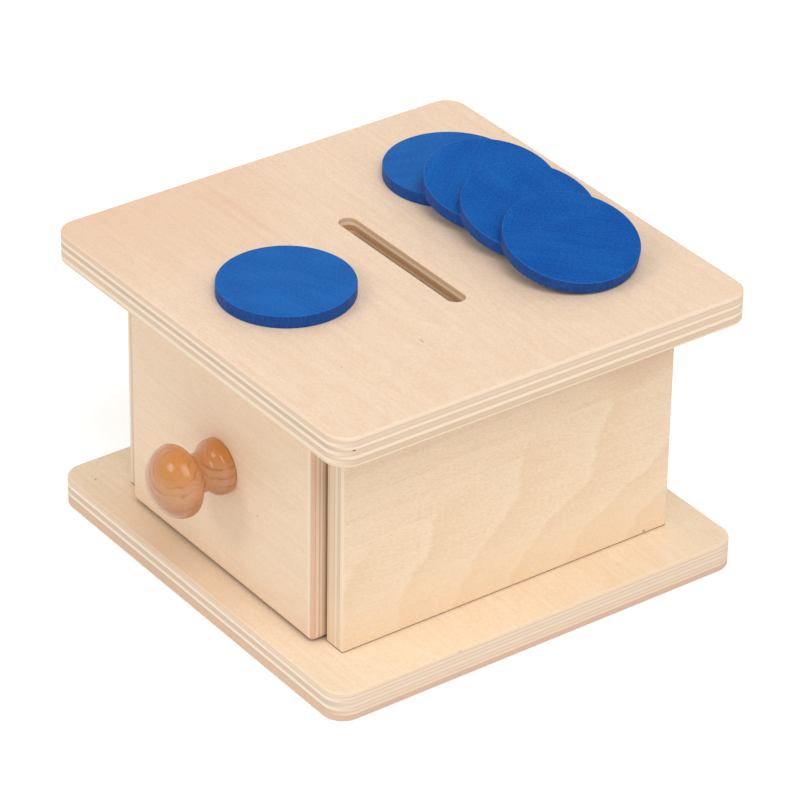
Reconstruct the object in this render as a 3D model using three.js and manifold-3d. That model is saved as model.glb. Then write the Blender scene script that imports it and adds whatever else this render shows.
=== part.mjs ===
// Coin box for object-permanence play: a plywood case with a slotted top board, a knobbed drawer
// that catches the coins, and five loose wooden coins lying on the top.
// Millimetres, +Z up. X runs along the drawer front, Y towards the back, and the origin is the
// middle of the base board's underside.

import * as THREE from "three";
import { mergeVertices } from "three/addons/utils/BufferGeometryUtils.js";
import Module from "manifold-3d";

const wasm = await Module();
wasm.setup();

// Coins: turned discs with eased edges.
const COIN_DIAMETER = 50;
const COIN_THICKNESS = 5;
const COIN_EASING = 0.6;

// Case: two side walls and a back wall between the base board and the top board.
const CASE_WIDTH = 135;
const CASE_DEPTH = 144;
const WALL_HEIGHT = 91.5;
const SIDE_WALL_THICKNESS = 10;
const BACK_WALL_THICKNESS = 10;
const WALL_EASING = 0.7;

// Base and top boards: they reach past the walls all round and have rounded corners.
const SIDE_OVERHANG = 21.5;
const FRONT_OVERHANG = 17.5;
const BACK_OVERHANG = 16.5;
const BASE_THICKNESS = 11.5;
const TOP_THICKNESS = 12;
const BOARD_CORNER_RADIUS = 8.5;
const BOARD_EASING = 0.9;

// Coin slot in the top board: room round a coin that stands on edge, and its offsets from the middle.
const SLOT_LENGTH_CLEARANCE = 21.6;
const SLOT_WIDTH_CLEARANCE = 2;
const SLOT_EASING = 0.4;
const SLOT_SIDE_OFFSET = 1;
const SLOT_BACK_OFFSET = 0.2;

// Drawer: a thick front, three thin walls and a floor that slides into grooves.
const DRAWER_PROUD = 5.7;
const DRAWER_FRONT_THICKNESS = 10;
const DRAWER_FRONT_EASING = 1.6;
const DRAWER_WALL_THICKNESS = 6;
const DRAWER_WALL_DROP = 12;
const DRAWER_SIDE_GAP = 0.7;
const DRAWER_FOOT_GAP = 1;
const DRAWER_HEAD_GAP = 1;
const DRAWER_BACK_GAP = 0.3;
const DRAWER_RUNNING_GAP = 0.3;
const FLOOR_THICKNESS = 3;
const FLOOR_LIFT = 5;
const GROOVE_DEPTH = 3;
const GROOVE_CLEARANCE = 0.2;

// Knob: turned in one piece, with a flared foot, a narrow neck and an egg-shaped head.
const KNOB_LENGTH = 28.3;
const KNOB_FOOT_DIAMETER = 20.8;
const KNOB_FOOT_EDGE = 2;
const KNOB_NECK_DIAMETER = 14.6;
const KNOB_NECK_DISTANCE = 9.2;
const KNOB_HEAD_DIAMETER = 27.2;
const KNOB_HEAD_DISTANCE = 18.4;
const KNOB_OFFSET = 0.8;
const KNOB_DROP = 0.7;

// Countersunk wood screws: through the base into each wall, and through the drawer front into the knob.
const SCREW_DIAMETER = 3.5;
const SCREW_HEAD_DIAMETER = 7;
const SCREW_HEAD_HEIGHT = 2.2;
const SCREW_TIP = 4;
const SCREW_SINK = 0.6;
const SCREW_CLEARANCE = 0.3;
const WALL_SCREW_GRIP = 18;
const WALL_SCREW_INSET = 32;
const KNOB_SCREW_GRIP = 13;

// Dowels: blind pegs between the top edge of each wall and the underside of the top board.
const DOWEL_DIAMETER = 6;
const DOWEL_WALL_DEPTH = 16;
const DOWEL_COVER = 4;
const DOWEL_CLEARANCE = 0.2;
const DOWEL_INSET = 22;
const HOLE_END_CLEARANCE = 0.5;

// Loose coins: one flat by itself, and a row of four where each leans on the one before.
const SINGLE_COIN_OFFSET = -2.6;
const SINGLE_COIN_FRONT_MARGIN = 17.2;
const FAN_LEFT_MARGIN = 25.4;
const FAN_BACK_MARGIN = 13;
const FAN_FIRST_STEP = 25.4;
const FAN_SECOND_STEP = 23.5;
const FAN_THIRD_STEP = 25.9;
const FAN_DRIFT = -1.05;
const COIN_GAP = 0.3;

// Facets of round shapes.
const CORNER_SEGMENTS = 4;
const COIN_SEGMENTS = 48;
const KNOB_SEGMENTS = 40;
const KNOB_CURVE_STEPS = 7;
const PEG_SEGMENTS = 16;
const EASING_STEPS = 2;

// Places that follow from the sizes above.
const boardWidth = CASE_WIDTH + 2 * SIDE_OVERHANG;
const boardDepth = CASE_DEPTH + FRONT_OVERHANG + BACK_OVERHANG;
const wallFoot = BASE_THICKNESS;
const wallHead = wallFoot + WALL_HEIGHT;
const topFace = wallHead + TOP_THICKNESS;
const caseFront = FRONT_OVERHANG - boardDepth / 2;
const caseBack = caseFront + CASE_DEPTH;
const caseMiddle = (caseFront + caseBack) / 2;
const bayWidth = CASE_WIDTH - 2 * SIDE_WALL_THICKNESS;
const bayBack = caseBack - BACK_WALL_THICKNESS;
const coinRadius = COIN_DIAMETER / 2;

const drawerWidth = bayWidth - 2 * DRAWER_SIDE_GAP;
const drawerInsideWidth = drawerWidth - 2 * DRAWER_WALL_THICKNESS;
const drawerFace = caseFront - DRAWER_PROUD;
const drawerInsideFront = drawerFace + DRAWER_FRONT_THICKNESS;
const drawerBack = bayBack - DRAWER_BACK_GAP;
const drawerFoot = wallFoot + DRAWER_RUNNING_GAP;
const drawerFrontFoot = wallFoot + DRAWER_FOOT_GAP;
const drawerFrontHead = wallHead - DRAWER_HEAD_GAP;
const drawerFrontHeight = drawerFrontHead - drawerFrontFoot;
const drawerWallHead = drawerFrontHead - DRAWER_WALL_DROP;
const floorFoot = drawerFrontFoot + FLOOR_LIFT;
const floorHead = floorFoot + FLOOR_THICKNESS;
const drawerFrontMiddle = drawerFrontFoot + drawerFrontHeight / 2;
const knobHeight = drawerFrontMiddle - KNOB_DROP;

// Turns a closed three.js geometry into a solid that can be cut.
function toSolid(geometry) {
  const bare = geometry.clone();
  bare.deleteAttribute("normal");
  bare.deleteAttribute("uv");
  const merged = mergeVertices(bare, 1e-4);
  const mesh = new wasm.Mesh({
    numProp: 3,
    vertProperties: merged.attributes.position.array,
    triVerts: new Uint32Array(merged.index.array),
  });
  return new wasm.Manifold(mesh);
}

// Cuts the cutters out of a body and gives the result back as a geometry.
function cut(body, cutters) {
  const solid = cutters.reduce((left, cutter) => left.subtract(toSolid(cutter)), toSolid(body));
  const mesh = solid.getMesh();
  const geometry = new THREE.BufferGeometry();
  geometry.setAttribute("position", new THREE.BufferAttribute(mesh.vertProperties, 3));
  geometry.setIndex(new THREE.BufferAttribute(mesh.triVerts, 1));
  geometry.computeVertexNormals();
  return geometry;
}

// A flat outline with rounded corners, or with square ones where the radius is nought.
function rectangle(width, height, radius) {
  const shape = new THREE.Shape();
  const x = width / 2 - radius;
  const y = height / 2 - radius;
  const corners = [[x, y], [-x, y], [-x, -y], [x, -y]];
  corners.forEach(([cornerX, cornerY], quarter) => {
    const start = (quarter * Math.PI) / 2;
    if (radius > 0) {
      shape.absarc(cornerX, cornerY, radius, start, start + Math.PI / 2);
    } else if (quarter === 0) {
      shape.moveTo(cornerX, cornerY);
    } else {
      shape.lineTo(cornerX, cornerY);
    }
  });
  shape.closePath();
  return shape;
}

// A flat oblong outline with round ends.
function oblong(length, width) {
  const radius = width / 2;
  const reach = length / 2 - radius;
  const shape = new THREE.Shape();
  shape.absarc(reach, 0, radius, -Math.PI / 2, Math.PI / 2);
  shape.absarc(-reach, 0, radius, Math.PI / 2, (3 * Math.PI) / 2);
  shape.closePath();
  return shape;
}

// A board of this outline lying flat from z = 0 up, with its edges eased.
function board(shape, thickness, easing) {
  const geometry = new THREE.ExtrudeGeometry(shape, {
    depth: thickness - 2 * easing,
    bevelEnabled: easing > 0,
    bevelThickness: easing,
    bevelSize: easing,
    bevelOffset: -easing,
    bevelSegments: EASING_STEPS,
    curveSegments: CORNER_SEGMENTS,
  });
  return geometry.translate(0, 0, easing);
}

// Stands a flat board up: its width runs along Y, its height along Z and its thickness along X.
function standAlongY(geometry) {
  const axes = [new THREE.Vector3(0, 1, 0), new THREE.Vector3(0, 0, 1), new THREE.Vector3(1, 0, 0)];
  return geometry.applyMatrix4(new THREE.Matrix4().makeBasis(...axes));
}

// Stands a flat board up: its width runs along X, its height along Z and its thickness towards -Y.
function standAlongX(geometry) {
  const axes = [new THREE.Vector3(1, 0, 0), new THREE.Vector3(0, 0, 1), new THREE.Vector3(0, -1, 0)];
  return geometry.applyMatrix4(new THREE.Matrix4().makeBasis(...axes));
}

// A plain box between two corners.
function box(low, high) {
  const size = high.map((value, i) => value - low[i]);
  const middle = high.map((value, i) => (value + low[i]) / 2);
  return new THREE.BoxGeometry(...size).translate(...middle);
}

// A solid of revolution about Z from [radius, height] points that start and end on the axis.
function turned(points, segments) {
  const profile = points.map(([radius, height]) => new THREE.Vector2(radius, height));
  return new THREE.LatheGeometry(profile, segments).rotateX(Math.PI / 2);
}

// A screw standing head down with the head's flat face at z = 0.
function screw(length) {
  return turned([
    [0, 0],
    [SCREW_HEAD_DIAMETER / 2, 0],
    [SCREW_DIAMETER / 2, SCREW_HEAD_HEIGHT],
    [SCREW_DIAMETER / 2, length - SCREW_TIP],
    [0, length],
  ], PEG_SEGMENTS);
}

// The countersunk hole for that screw, open below the sunk head.
function screwHole(length) {
  const head = SCREW_HEAD_DIAMETER / 2 + SCREW_CLEARANCE;
  const shank = SCREW_DIAMETER / 2 + SCREW_CLEARANCE;
  return turned([
    [0, -2 * SCREW_SINK],
    [head, -2 * SCREW_SINK],
    [head, 0],
    [shank, SCREW_HEAD_HEIGHT],
    [shank, length + HOLE_END_CLEARANCE],
    [0, length + HOLE_END_CLEARANCE],
  ], PEG_SEGMENTS);
}

// A peg from z = 0 up.
function peg(radius, length) {
  return turned([[0, 0], [radius, 0], [radius, length], [0, length]], PEG_SEGMENTS);
}

const part = new THREE.Group();

// Adds one named piece with its own material.
function add(name, geometry, finish) {
  const mesh = new THREE.Mesh(geometry, new THREE.MeshStandardMaterial(finish));
  mesh.name = name;
  part.add(mesh);
  return mesh;
}

const PLYWOOD = { color: 0xf4d9b8, roughness: 0.6, metalness: 0 };
const THIN_PLYWOOD = { color: 0xecd0ac, roughness: 0.65, metalness: 0 };
const TURNED_WOOD = { color: 0xcd8c55, roughness: 0.3, metalness: 0 };
const DOWEL_WOOD = { color: 0xdcb88c, roughness: 0.7, metalness: 0 };
const BLUE_STAIN = { color: 0x2164ba, roughness: 0.55, metalness: 0 };
const STEEL = { color: 0xb4b0a6, roughness: 0.35, metalness: 1 };

// Screws and dowels stand on the middle line of each wall, two of each in a wall.
const sideLine = CASE_WIDTH / 2 - SIDE_WALL_THICKNESS / 2;
const backLine = caseBack - BACK_WALL_THICKNESS / 2;

function wallPoints(inset) {
  const sideFront = caseFront + inset;
  const sideBack = caseBack - inset;
  const alongBack = bayWidth / 2 - inset;
  return {
    left: [[-sideLine, sideFront], [-sideLine, sideBack]],
    right: [[sideLine, sideFront], [sideLine, sideBack]],
    back: [[-alongBack, backLine], [alongBack, backLine]],
  };
}

const screwPoints = wallPoints(WALL_SCREW_INSET);
const dowelPoints = wallPoints(DOWEL_INSET);
const wallScrewLength = BASE_THICKNESS - SCREW_SINK + WALL_SCREW_GRIP;
const dowelTopDepth = TOP_THICKNESS - DOWEL_COVER - HOLE_END_CLEARANCE;
const dowelLength = DOWEL_WALL_DEPTH + dowelTopDepth;
const dowelFoot = wallHead - DOWEL_WALL_DEPTH;

function wallScrewHole([x, y]) {
  return screwHole(wallScrewLength).translate(x, y, SCREW_SINK);
}

function dowelHole([x, y]) {
  const radius = DOWEL_DIAMETER / 2 + DOWEL_CLEARANCE;
  const length = dowelLength + 2 * HOLE_END_CLEARANCE;
  return peg(radius, length).translate(x, y, dowelFoot - HOLE_END_CLEARANCE);
}

// Base board: rounded corners and countersunk screw holes from below.
const baseBody = board(rectangle(boardWidth, boardDepth, BOARD_CORNER_RADIUS), BASE_THICKNESS, BOARD_EASING);
add("base_board", cut(baseBody, Object.values(screwPoints).flat().map(wallScrewHole)), PLYWOOD);

// Case walls: each is drilled for its screws below and its dowels above.
const wallMiddle = wallFoot + WALL_HEIGHT / 2;

function drilled(geometry, wall) {
  return cut(geometry, [...screwPoints[wall].map(wallScrewHole), ...dowelPoints[wall].map(dowelHole)]);
}

function sideWall(left) {
  const shape = rectangle(CASE_DEPTH, WALL_HEIGHT, 0);
  return standAlongY(board(shape, SIDE_WALL_THICKNESS, WALL_EASING)).translate(left, caseMiddle, wallMiddle);
}

add("left_wall", drilled(sideWall(-CASE_WIDTH / 2), "left"), PLYWOOD);
add("right_wall", drilled(sideWall(CASE_WIDTH / 2 - SIDE_WALL_THICKNESS), "right"), PLYWOOD);

const backShape = rectangle(bayWidth, WALL_HEIGHT, 0);
const backBody = standAlongX(board(backShape, BACK_WALL_THICKNESS, WALL_EASING));
add("back_wall", drilled(backBody.translate(0, caseBack, wallMiddle), "back"), PLYWOOD);

// Coin slot: the cut right through the top board, and a wider cut that eases its rim above and below.
const slotShape = oblong(COIN_DIAMETER + SLOT_LENGTH_CLEARANCE, COIN_THICKNESS + SLOT_WIDTH_CLEARANCE);

function slotCut() {
  const through = { depth: 3 * TOP_THICKNESS, bevelEnabled: false, curveSegments: CORNER_SEGMENTS };
  const cutter = new THREE.ExtrudeGeometry(slotShape, through);
  return cutter.translate(SLOT_SIDE_OFFSET, SLOT_BACK_OFFSET, wallHead - TOP_THICKNESS);
}

function slotRim(widestFrom) {
  const rim = new THREE.ExtrudeGeometry(slotShape, {
    depth: SLOT_EASING,
    bevelThickness: SLOT_EASING,
    bevelSize: SLOT_EASING,
    bevelSegments: 1,
    curveSegments: CORNER_SEGMENTS,
  });
  return rim.translate(SLOT_SIDE_OFFSET, SLOT_BACK_OFFSET, widestFrom);
}

// Top board: the coin slot goes right through, and the dowel holes stop inside.
const topShape = rectangle(boardWidth, boardDepth, BOARD_CORNER_RADIUS);
const topBody = board(topShape, TOP_THICKNESS, BOARD_EASING).translate(0, 0, wallHead);
const topCuts = [slotCut(), slotRim(topFace), slotRim(wallHead - SLOT_EASING)];
add("top_board", cut(topBody, [...topCuts, ...Object.values(dowelPoints).flat().map(dowelHole)]), PLYWOOD);

// Fasteners of the case.
Object.values(screwPoints).flat().forEach(([x, y], i) => {
  add(`wall_screw_${i + 1}`, screw(wallScrewLength), STEEL).position.set(x, y, SCREW_SINK);
});
Object.values(dowelPoints).flat().forEach(([x, y], i) => {
  add(`top_dowel_${i + 1}`, peg(DOWEL_DIAMETER / 2, dowelLength), DOWEL_WOOD).position.set(x, y, dowelFoot);
});

// Drawer front: eased all round, grooved behind for the floor and bored for the knob's screw.
const knobScrewLength = DRAWER_FRONT_THICKNESS - SCREW_SINK + KNOB_SCREW_GRIP;
const groove = box(
  [-drawerInsideWidth / 2 - GROOVE_DEPTH, drawerInsideFront - GROOVE_DEPTH, floorFoot],
  [drawerInsideWidth / 2 + GROOVE_DEPTH, drawerBack + GROOVE_DEPTH, floorHead + GROOVE_CLEARANCE],
);
const knobHole = screwHole(knobScrewLength)
  .rotateX(Math.PI / 2)
  .translate(KNOB_OFFSET, drawerInsideFront - SCREW_SINK, knobHeight);
const frontBody = standAlongX(
  board(rectangle(drawerWidth, drawerFrontHeight, 0), DRAWER_FRONT_THICKNESS, DRAWER_FRONT_EASING),
).translate(0, drawerInsideFront, drawerFrontMiddle);
add("drawer_front", cut(frontBody, [groove, knobHole]), PLYWOOD);

// Drawer walls: the sides carry the floor in grooves, and the back stands on it.
function drawerSide(left) {
  const low = [left, drawerInsideFront, drawerFoot];
  const high = [left + DRAWER_WALL_THICKNESS, drawerBack, drawerWallHead];
  return cut(box(low, high), [groove]);
}

add("drawer_left_side", drawerSide(-drawerWidth / 2), THIN_PLYWOOD);
add("drawer_right_side", drawerSide(drawerWidth / 2 - DRAWER_WALL_THICKNESS), THIN_PLYWOOD);
const drawerBackBody = box(
  [-drawerInsideWidth / 2, drawerBack - DRAWER_WALL_THICKNESS, floorHead],
  [drawerInsideWidth / 2, drawerBack, drawerWallHead],
);
add("drawer_back", drawerBackBody, THIN_PLYWOOD);
const floorEdge = drawerInsideWidth / 2 + GROOVE_DEPTH - GROOVE_CLEARANCE;
const floorBody = box(
  [-floorEdge, drawerInsideFront - GROOVE_DEPTH + GROOVE_CLEARANCE, floorFoot],
  [floorEdge, drawerBack, floorHead],
);
add("drawer_floor", floorBody, THIN_PLYWOOD);

// Knob profile: foot edge, two smooth S-curves through the neck, and an elliptical nose.
function sCurve(fromRadius, fromHeight, toRadius, toHeight) {
  const middle = (fromHeight + toHeight) / 2;
  const curve = new THREE.CubicBezierCurve(
    new THREE.Vector2(fromRadius, fromHeight),
    new THREE.Vector2(fromRadius, middle),
    new THREE.Vector2(toRadius, middle),
    new THREE.Vector2(toRadius, toHeight),
  );
  return curve.getPoints(KNOB_CURVE_STEPS).map((point) => [point.x, point.y]);
}

const footRadius = KNOB_FOOT_DIAMETER / 2;
const neckRadius = KNOB_NECK_DIAMETER / 2;
const headRadius = KNOB_HEAD_DIAMETER / 2;
const pilotRadius = SCREW_DIAMETER / 2 + SCREW_CLEARANCE;
const pilotDepth = KNOB_SCREW_GRIP + HOLE_END_CLEARANCE;
const noseLength = KNOB_LENGTH - KNOB_HEAD_DISTANCE;
const nose = new THREE.EllipseCurve(0, KNOB_HEAD_DISTANCE, headRadius, noseLength, 0, Math.PI / 2);
const nosePoints = nose.getPoints(2 * KNOB_CURVE_STEPS).map((point) => [point.x, point.y]);
const knobProfile = [
  [0, pilotDepth],
  [pilotRadius, pilotDepth],
  [pilotRadius, 0],
  [footRadius, 0],
  ...sCurve(footRadius, KNOB_FOOT_EDGE, neckRadius, KNOB_NECK_DISTANCE),
  ...sCurve(neckRadius, KNOB_NECK_DISTANCE, headRadius, KNOB_HEAD_DISTANCE).slice(1),
  ...nosePoints.slice(1, -1),
  [0, KNOB_LENGTH],
];
const knob = add("knob", turned(knobProfile, KNOB_SEGMENTS), TURNED_WOOD);
knob.position.set(KNOB_OFFSET, drawerFace, knobHeight);
knob.rotation.x = Math.PI / 2;
const knobScrew = add("knob_screw", screw(knobScrewLength), STEEL);
knobScrew.position.set(KNOB_OFFSET, drawerInsideFront - SCREW_SINK, knobHeight);
knobScrew.rotation.x = Math.PI / 2;

// A coin standing on z = 0, with a rounded edge at both faces.
function coin() {
  const edge = (height, from) =>
    new THREE.EllipseCurve(coinRadius - COIN_EASING, height, COIN_EASING, COIN_EASING, from, from + Math.PI / 2)
      .getPoints(EASING_STEPS)
      .map((point) => [point.x, point.y]);
  return turned([
    [0, 0],
    ...edge(COIN_EASING, -Math.PI / 2),
    ...edge(COIN_THICKNESS - COIN_EASING, 0),
    [0, COIN_THICKNESS],
  ], COIN_SEGMENTS);
}

// The lean at which a coin's underside clears a rim of this height, reach being from its middle to the rim.
function leanOver(rimHeight, reach) {
  let lean = 0;
  for (let pass = 0; pass < 40; pass += 1) {
    lean = Math.asin((rimHeight + reach * Math.tan(lean)) / coinRadius);
  }
  return lean;
}

const singleCoin = add("coin_1", coin(), BLUE_STAIN);
singleCoin.position.set(SINGLE_COIN_OFFSET, -boardDepth / 2 + SINGLE_COIN_FRONT_MARGIN + coinRadius, topFace);

// The row starts with a flat coin. Each later coin has its low edge on the top board and leans on
// the raised rim of the one before it, never flatter than that coin, or it would cut into its face.
const fanLeft = -boardWidth / 2 + FAN_LEFT_MARGIN + coinRadius;
const fanBack = boardDepth / 2 - FAN_BACK_MARGIN - coinRadius;
add("coin_2", coin(), BLUE_STAIN).position.set(fanLeft, fanBack, topFace);
let coinX = fanLeft;
let rimX = fanLeft + coinRadius;
let rimHeight = COIN_THICKNESS;
let lean = 0;
[FAN_FIRST_STEP, FAN_SECOND_STEP, FAN_THIRD_STEP].forEach((step, i) => {
  coinX += step;
  lean = Math.max(lean, leanOver(rimHeight, rimX - coinX));
  const leaning = add(`coin_${i + 3}`, coin(), BLUE_STAIN);
  leaning.position.set(coinX, fanBack + (i + 1) * FAN_DRIFT, topFace + COIN_GAP + coinRadius * Math.sin(lean));
  leaning.rotation.y = lean;
  rimX = coinX + coinRadius * Math.cos(lean) + COIN_THICKNESS * Math.sin(lean);
  rimHeight = COIN_GAP + COIN_THICKNESS * Math.cos(lean);
});

export default part;
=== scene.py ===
import math

import bmesh
import bpy
from mathutils import Matrix, Vector


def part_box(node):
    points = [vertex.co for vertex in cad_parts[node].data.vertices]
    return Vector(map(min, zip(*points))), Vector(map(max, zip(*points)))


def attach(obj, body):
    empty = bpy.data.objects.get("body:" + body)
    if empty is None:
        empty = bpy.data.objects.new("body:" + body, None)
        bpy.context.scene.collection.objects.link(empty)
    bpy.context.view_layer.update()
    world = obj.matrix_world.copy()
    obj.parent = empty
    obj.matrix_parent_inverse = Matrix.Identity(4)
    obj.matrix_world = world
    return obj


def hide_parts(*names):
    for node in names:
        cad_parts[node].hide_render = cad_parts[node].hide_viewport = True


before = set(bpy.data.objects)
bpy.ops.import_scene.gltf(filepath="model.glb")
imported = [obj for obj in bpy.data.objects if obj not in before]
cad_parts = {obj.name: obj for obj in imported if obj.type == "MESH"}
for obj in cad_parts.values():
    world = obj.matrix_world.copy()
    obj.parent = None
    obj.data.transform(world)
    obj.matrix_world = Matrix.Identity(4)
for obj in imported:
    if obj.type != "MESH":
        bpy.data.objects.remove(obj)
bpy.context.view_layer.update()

# Base board: the square of plywood that the box stands on, sawn with round corners and sanded
# along its edges. Screws come up through countersunk holes in it and hold the walls.
MM = 0.001
X, Y, Z = 0, 1, 2
CORNER_RADIUS = 8.5 * MM
CORNER_STEPS = 14
BOARD_EASING = 0.9 * MM
FOOT_EASING = 0.4 * MM
EASING_STEPS = 4
SCREW_HEAD_RADIUS = 3.5 * MM
SCREW_SHANK_RADIUS = 1.75 * MM
SCREW_HEAD_HEIGHT = 2.2 * MM
SCREW_ROOM = 0.3 * MM
SCREW_SIDES = 40
WALL_SCREWS = [f"wall_screw_{number}" for number in range(1, 7)]
HOLE_MOUTH = 2 * MM
CUT_REACH = 20 * MM
UP = Vector((0, 0, 1))
SAME_WAY = 0.999
SAME_HEIGHT = 0.001 * MM
SHARP_ANGLE = 0.8
SMOOTH_ANGLE = math.radians(40)


def block(name, low, high):
    """Adds a block between two corners, with its place in its mesh."""
    bpy.ops.object.select_all(action="DESELECT")
    bpy.ops.mesh.primitive_cube_add(size=1, location=(low + high) / 2)
    piece = bpy.context.object
    piece.name = name
    piece.data.name = name
    piece.scale = high - low
    bpy.ops.object.transform_apply(location=True, rotation=True, scale=True)
    return piece


def take_up(piece):
    """Makes one piece the only one selected, so that the next operator acts on it."""
    bpy.ops.object.select_all(action="DESELECT")
    piece.select_set(True)
    bpy.context.view_layer.objects.active = piece


def bevel_edges(piece, wanted, width, steps):
    """Rounds the edges that pass a test."""
    take_up(piece)
    bpy.ops.object.mode_set(mode="EDIT")
    bpy.ops.mesh.select_mode(type="EDGE")
    bpy.ops.mesh.select_all(action="DESELECT")
    shape = bmesh.from_edit_mesh(piece.data)
    for edge in shape.edges:
        if wanted(edge):
            edge.select_set(True)
    bmesh.update_edit_mesh(piece.data)
    bpy.ops.mesh.bevel(offset=width, segments=steps, affect="EDGES")
    bpy.ops.object.mode_set(mode="OBJECT")


def runs_along(edge, axis):
    """Says whether an edge runs along an axis."""
    run = (edge.verts[0].co - edge.verts[1].co).normalized()
    return abs(run[axis]) > SAME_WAY


def is_rim(edge, axis, height):
    """Says whether an edge lies at a height on an axis and turns a sharp corner there."""
    level = all(abs(corner.co[axis] - height) < SAME_HEIGHT for corner in edge.verts)
    return level and edge.calc_face_angle(0) > SHARP_ANGLE


def put_in_place(piece, middle, turned):
    """Turns and moves a piece from the origin, and leaves its place in its mesh."""
    piece.rotation_euler = turned
    piece.location = middle
    take_up(piece)
    bpy.ops.object.transform_apply(location=True, rotation=True, scale=True)


def cut_away(piece, cutter):
    """Cuts one shape out of a piece and removes the cutter."""
    take_up(piece)
    saw = piece.modifiers.new("cut", "BOOLEAN")
    saw.operation = "DIFFERENCE"
    saw.solver = "EXACT"
    saw.object = cutter
    bpy.ops.object.modifier_apply(modifier=saw.name)
    bpy.data.objects.remove(cutter)


def sand_smooth(piece):
    """Shades the rounded edges as curves and keeps the broad faces flat."""
    take_up(piece)
    bpy.ops.object.shade_smooth_by_angle(angle=SMOOTH_ANGLE)
    even = piece.modifiers.new("even", "WEIGHTED_NORMAL")
    even.keep_sharp = True
    bpy.ops.object.modifier_apply(modifier=even.name)


def extrude_cap(piece, normal, length):
    """Draws out the flat end of a piece that faces one way."""
    take_up(piece)
    bpy.ops.object.mode_set(mode="EDIT")
    bpy.ops.mesh.select_mode(type="FACE")
    bpy.ops.mesh.select_all(action="DESELECT")
    shape = bmesh.from_edit_mesh(piece.data)
    for face in shape.faces:
        if face.normal.dot(normal) > SAME_WAY:
            face.select_set(True)
    bmesh.update_edit_mesh(piece.data)
    bpy.ops.mesh.extrude_region_move(TRANSFORM_OT_translate={"value": normal * length})
    bpy.ops.object.mode_set(mode="OBJECT")


def screw_hole(head_face, direction):
    """Makes the cutter of a countersunk hole whose screw has its head face at a point."""
    bpy.ops.object.select_all(action="DESELECT")
    bpy.ops.mesh.primitive_cone_add(
        vertices=SCREW_SIDES,
        radius1=SCREW_HEAD_RADIUS + SCREW_ROOM,
        radius2=SCREW_SHANK_RADIUS + SCREW_ROOM,
        depth=SCREW_HEAD_HEIGHT,
        location=(0, 0, SCREW_HEAD_HEIGHT / 2),
    )
    cutter = bpy.context.object
    bpy.ops.object.transform_apply(location=True, rotation=True, scale=True)
    extrude_cap(cutter, -UP, HOLE_MOUTH)
    extrude_cap(cutter, UP, CUT_REACH)
    put_in_place(cutter, head_face, direction.to_track_quat("Z", "Y").to_euler())
    return cutter


def screw_head(node):
    """Gives the middle of a wall screw's head face."""
    low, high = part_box(node)
    return Vector(((low.x + high.x) / 2, (low.y + high.y) / 2, low.z))


base_low, base_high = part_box("base_board")
base = block("sanded_base", base_low, base_high)
bevel_edges(base, lambda edge: runs_along(edge, Z), CORNER_RADIUS, CORNER_STEPS)
bevel_edges(base, lambda edge: is_rim(edge, Z, base_high.z), BOARD_EASING, EASING_STEPS)
bevel_edges(base, lambda edge: is_rim(edge, Z, base_low.z), FOOT_EASING, EASING_STEPS)
for screw in WALL_SCREWS:
    cut_away(base, screw_hole(screw_head(screw), UP))
sand_smooth(base)


class Wire:
    """A shader socket, so that what changes over a surface can be written as a sum."""

    def __init__(self, tree, socket):
        self.tree = tree
        self.socket = socket

    def node(self, kind, settings, sockets, output=0):
        """Adds a node of any kind: its settings first, then its sockets' values or links."""
        made = self.tree.nodes.new(kind)
        for key, value in settings.items():
            if key == "stops":
                ramp = made.color_ramp
                ramp.elements.remove(ramp.elements[-1])
                ramp.elements[0].position = value[0][0]
                ramp.elements[0].color = value[0][1]
                for place, tone in value[1:]:
                    ramp.elements.new(place).color = tone
            else:
                setattr(made, key, value)
        for key, value in sockets.items():
            if isinstance(value, Wire):
                self.tree.links.new(value.socket, made.inputs[key])
            else:
                made.inputs[key].default_value = value
        return Wire(self.tree, made.outputs[output])

    def maths(self, operation, *values):
        """Adds a Math node on the values given, which may be sockets or numbers."""
        return self.node("ShaderNodeMath", {"operation": operation}, dict(enumerate(values)))

    def __add__(self, other):
        return self.maths("ADD", self, other)

    __radd__ = __add__

    def __sub__(self, other):
        return self.maths("SUBTRACT", self, other)

    def __rsub__(self, other):
        return self.maths("SUBTRACT", other, self)

    def __mul__(self, other):
        return self.maths("MULTIPLY", self, other)

    __rmul__ = __mul__

    def __truediv__(self, other):
        return self.maths("DIVIDE", self, other)

    def __rtruediv__(self, other):
        return self.maths("DIVIDE", other, self)

    def __abs__(self):
        return self.maths("ABSOLUTE", self)

    def step(self, low, high):
        """Goes smoothly from 0 at one value to 1 at another."""
        limits = {"Value": self, "From Min": low, "From Max": high, "To Min": 0.0, "To Max": 1.0}
        return self.node("ShaderNodeMapRange", {"interpolation_type": "SMOOTHSTEP"}, limits)

    def axes(self):
        """Splits a vector into its three values."""
        split = self.node("ShaderNodeSeparateXYZ", {}, {0: self})
        return [Wire(self.tree, part) for part in split.socket.node.outputs]

    def mix(self, first, second):
        """Mixes two colours, this value being the share of the second."""
        return self.node("ShaderNodeMix", {"data_type": "RGBA"}, {0: self, 6: first, 7: second}, 2)


def noise(x, y, z, detail=2.0, distortion=0.0):
    """Soft noise about nought, from three values that may each be stretched."""
    place = x.node("ShaderNodeCombineXYZ", {}, {0: x, 1: y, 2: z})
    sockets = {"Vector": place, "Scale": 1.0, "Detail": detail, "Distortion": distortion}
    return place.node("ShaderNodeTexNoise", {}, sockets) - 0.5


def colour(red, green, blue):
    """A colour as a screen shows it, 0 to 255, made linear."""
    linear = []
    for value in (red, green, blue):
        share = value / 255
        linear.append(share / 12.92 if share <= 0.04045 else ((share + 0.055) / 1.055) ** 2.4)
    return (*linear, 1.0)


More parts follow.
